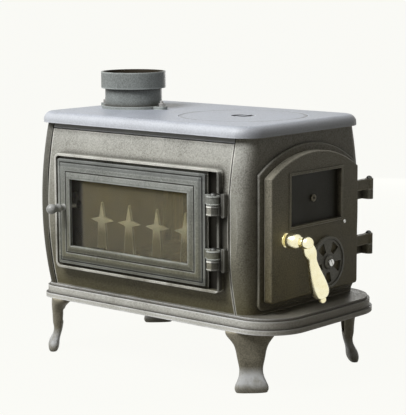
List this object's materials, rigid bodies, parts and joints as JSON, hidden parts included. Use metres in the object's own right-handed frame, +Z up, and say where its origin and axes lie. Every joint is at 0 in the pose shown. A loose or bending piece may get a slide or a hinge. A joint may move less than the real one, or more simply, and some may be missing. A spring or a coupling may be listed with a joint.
{
  "type": "cast iron stove",
  "caption": "Cast iron wood stove on cabriole legs with a glazed front door, arched end door with air regulator and lever handle, lift-out hot plate and top flue collar.",
  "frame": {"origin": "on the floor, under the middle of the whole stove's box, handle and knob included", "axes": "+X towards the arched end door, -Y towards the glazed front door, +Z up along the flue"},
  "size_m": [0.637, 0.4314, 0.56],
  "materials": {
    "iron_body": "matt stove-black cast iron",
    "iron_top": "stove-black cast iron with a soft sheen",
    "iron_base": "matt stove-black cast iron",
    "iron_door": "matt stove-black cast iron",
    "iron_inner": "sooty raw cast iron",
    "steel": "plain steel",
    "knob_steel": "turned bright steel",
    "brass": "polished brass",
    "glass": "heat-proof glass",
    "rope": "woven glass rope"
  },
  "bodies": {
    "stove_body": {"base_plate": "iron_base", "leg_front_left": "iron_base", "leg_front_right": "iron_base", "leg_rear_left": "iron_base", "leg_rear_right": "iron_base", "leg_bolts": "steel", "base_bolts": "steel", "top_bolts": "steel", "left_end_panel": "iron_body", "right_end_panel": "iron_body", "front_panel": "iron_body", "rear_panel": "iron_body", "top_plate": "iron_top", "flue_collar": "iron_top", "collar_bolts": "steel", "fire_grate": "iron_inner", "rear_burn_plate": "iron_inner", "baffle_plate": "iron_inner", "log_guard": "iron_inner", "front_hinge_pins": "steel", "end_hinge_pins": "steel"},
    "front_door": {"front_door_frame": "iron_door", "door_glass": "glass", "glass_seal": "rope", "glass_clips": "steel", "clip_screws": "steel", "front_door_rope": "rope"},
    "front_latch_knob": {"front_knob": "knob_steel", "front_latch": "steel", "front_latch_nut": "steel"},
    "end_door_leaf": {"end_door": "iron_door", "end_door_rope": "rope", "end_door_liner": "iron_inner", "liner_bolt": "steel", "liner_screw": "steel", "spinner_screw": "steel", "handle_bush": "brass"},
    "air_regulator": {"air_spinner": "iron_door"},
    "end_handle": {"handle_spindle": "brass", "handle_grip": "brass", "end_latch": "steel", "latch_nut": "steel"},
    "cooking_lid": {"hot_plate": "iron_top"}
  },
  "joints": [
    {"name": "front_door_hinge", "type": "hinge", "parent": "stove_body", "child": "front_door", "pos_m": [0.1695, -0.17335, 0.294], "axis": [0, 0, 1], "range_deg": [0, 110]},
    {"name": "front_latch_turn", "type": "hinge", "parent": "front_door", "child": "front_latch_knob", "pos_m": [-0.2155, -0.16335, 0.304], "axis": [0, 1, 0], "range_deg": [-90, 0]},
    {"name": "end_door_hinge", "type": "hinge", "parent": "stove_body", "child": "end_door_leaf", "pos_m": [0.2445, 0.20765, 0.286], "axis": [0, 0, 1], "range_deg": [0, 110]},
    {"name": "air_regulator_turn", "type": "hinge", "parent": "end_door_leaf", "child": "air_regulator", "pos_m": [0.2535, 0.05865, 0.217], "axis": [1, 0, 0], "range_deg": [0, 36]},
    {"name": "end_handle_turn", "type": "hinge", "parent": "end_door_leaf", "child": "end_handle", "pos_m": [0.2445, -0.06835, 0.276], "axis": [1, 0, 0], "range_deg": [-60, 68]},
    {"name": "cooking_lid_lift", "type": "slide", "parent": "stove_body", "child": "cooking_lid", "axis": [0, 0, 1], "range_m": [0, 0.15]}
  ]
}
